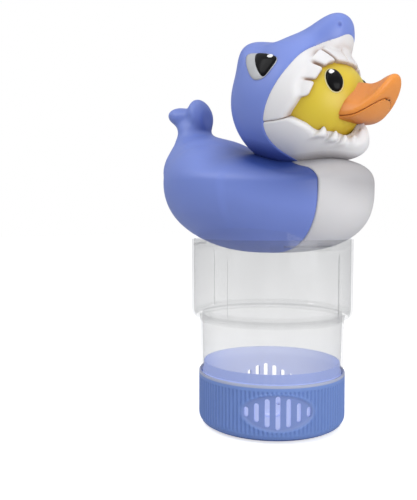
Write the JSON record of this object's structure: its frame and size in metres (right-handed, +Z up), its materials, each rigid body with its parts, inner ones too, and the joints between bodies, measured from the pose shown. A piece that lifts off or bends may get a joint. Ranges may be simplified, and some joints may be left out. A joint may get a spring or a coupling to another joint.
{
  "type": "floating chlorine dispenser",
  "caption": "Floating pool chlorine dispenser: duck float in a shark hood on a clear telescoping tablet canister with a turning slotted base.",
  "frame": {"origin": "centre of the regulator cup's flat underside, on the canister axis", "axes": "+Z up along the canister axis, -Y the way the duck looks, +X towards the duck's left"},
  "size_m": [0.12, 0.179, 0.263],
  "materials": {
    "blue_vinyl_body": "satin soft vinyl",
    "white_vinyl_breast": "satin soft vinyl",
    "blue_vinyl_hood": "satin soft vinyl",
    "white_vinyl_upper_jaw": "satin soft vinyl",
    "white_vinyl_lower_jaw": "satin soft vinyl",
    "yellow_vinyl": "satin soft vinyl",
    "orange_vinyl_bill_upper": "satin soft vinyl",
    "orange_vinyl_bill_lower": "satin soft vinyl",
    "black_gloss_duck_eye_right": "gloss",
    "black_gloss_duck_eye_left": "gloss",
    "white_gloss_shark_eye_right": "gloss",
    "white_gloss_shark_eye_left": "gloss",
    "black_gloss_shark_pupil_right": "gloss",
    "black_gloss_shark_pupil_left": "gloss",
    "clear_plastic_collar": "clear gloss",
    "clear_plastic_upper": "clear gloss",
    "clear_plastic_lower": "clear gloss",
    "pale_blue_plastic": "translucent gloss",
    "translucent_blue_plastic": "translucent gloss",
    "white_pin_plastic": "satin"
  },
  "bodies": {
    "float": {"body_shell": "blue_vinyl_body", "breast_shell": "white_vinyl_breast", "hood_shell": "blue_vinyl_hood", "upper_jaw": "white_vinyl_upper_jaw", "lower_jaw": "white_vinyl_lower_jaw", "duck_head": "yellow_vinyl", "bill_upper": "orange_vinyl_bill_upper", "bill_lower": "orange_vinyl_bill_lower", "duck_eye_right": "black_gloss_duck_eye_right", "duck_eye_left": "black_gloss_duck_eye_left", "shark_eye_right": "white_gloss_shark_eye_right", "shark_eye_left": "white_gloss_shark_eye_left", "shark_pupil_right": "black_gloss_shark_pupil_right", "shark_pupil_left": "black_gloss_shark_pupil_left", "float_collar": "clear_plastic_collar"},
    "upper_canister": {"upper_sleeve": "clear_plastic_upper"},
    "lower_canister": {"lower_sleeve": "clear_plastic_lower", "vent_basket": "pale_blue_plastic", "pivot_pin": "white_pin_plastic"},
    "regulator": {"regulator_cup": "translucent_blue_plastic"}
  },
  "joints": [
    {"name": "canister_twist", "type": "hinge", "parent": "float", "child": "upper_canister", "pos_m": [0, 0, 0.118], "axis": [0, 0, 1], "range_deg": [0, 60]},
    {"name": "canister_slide", "type": "slide", "parent": "upper_canister", "child": "lower_canister", "axis": [0, 0, 1], "range_m": [0, 0.033]},
    {"name": "regulator_turn", "type": "hinge", "parent": "lower_canister", "child": "regulator", "pos_m": [0, 0, 0.002], "axis": [0, 0, 1], "range_deg": [0, 60]}
  ]
}
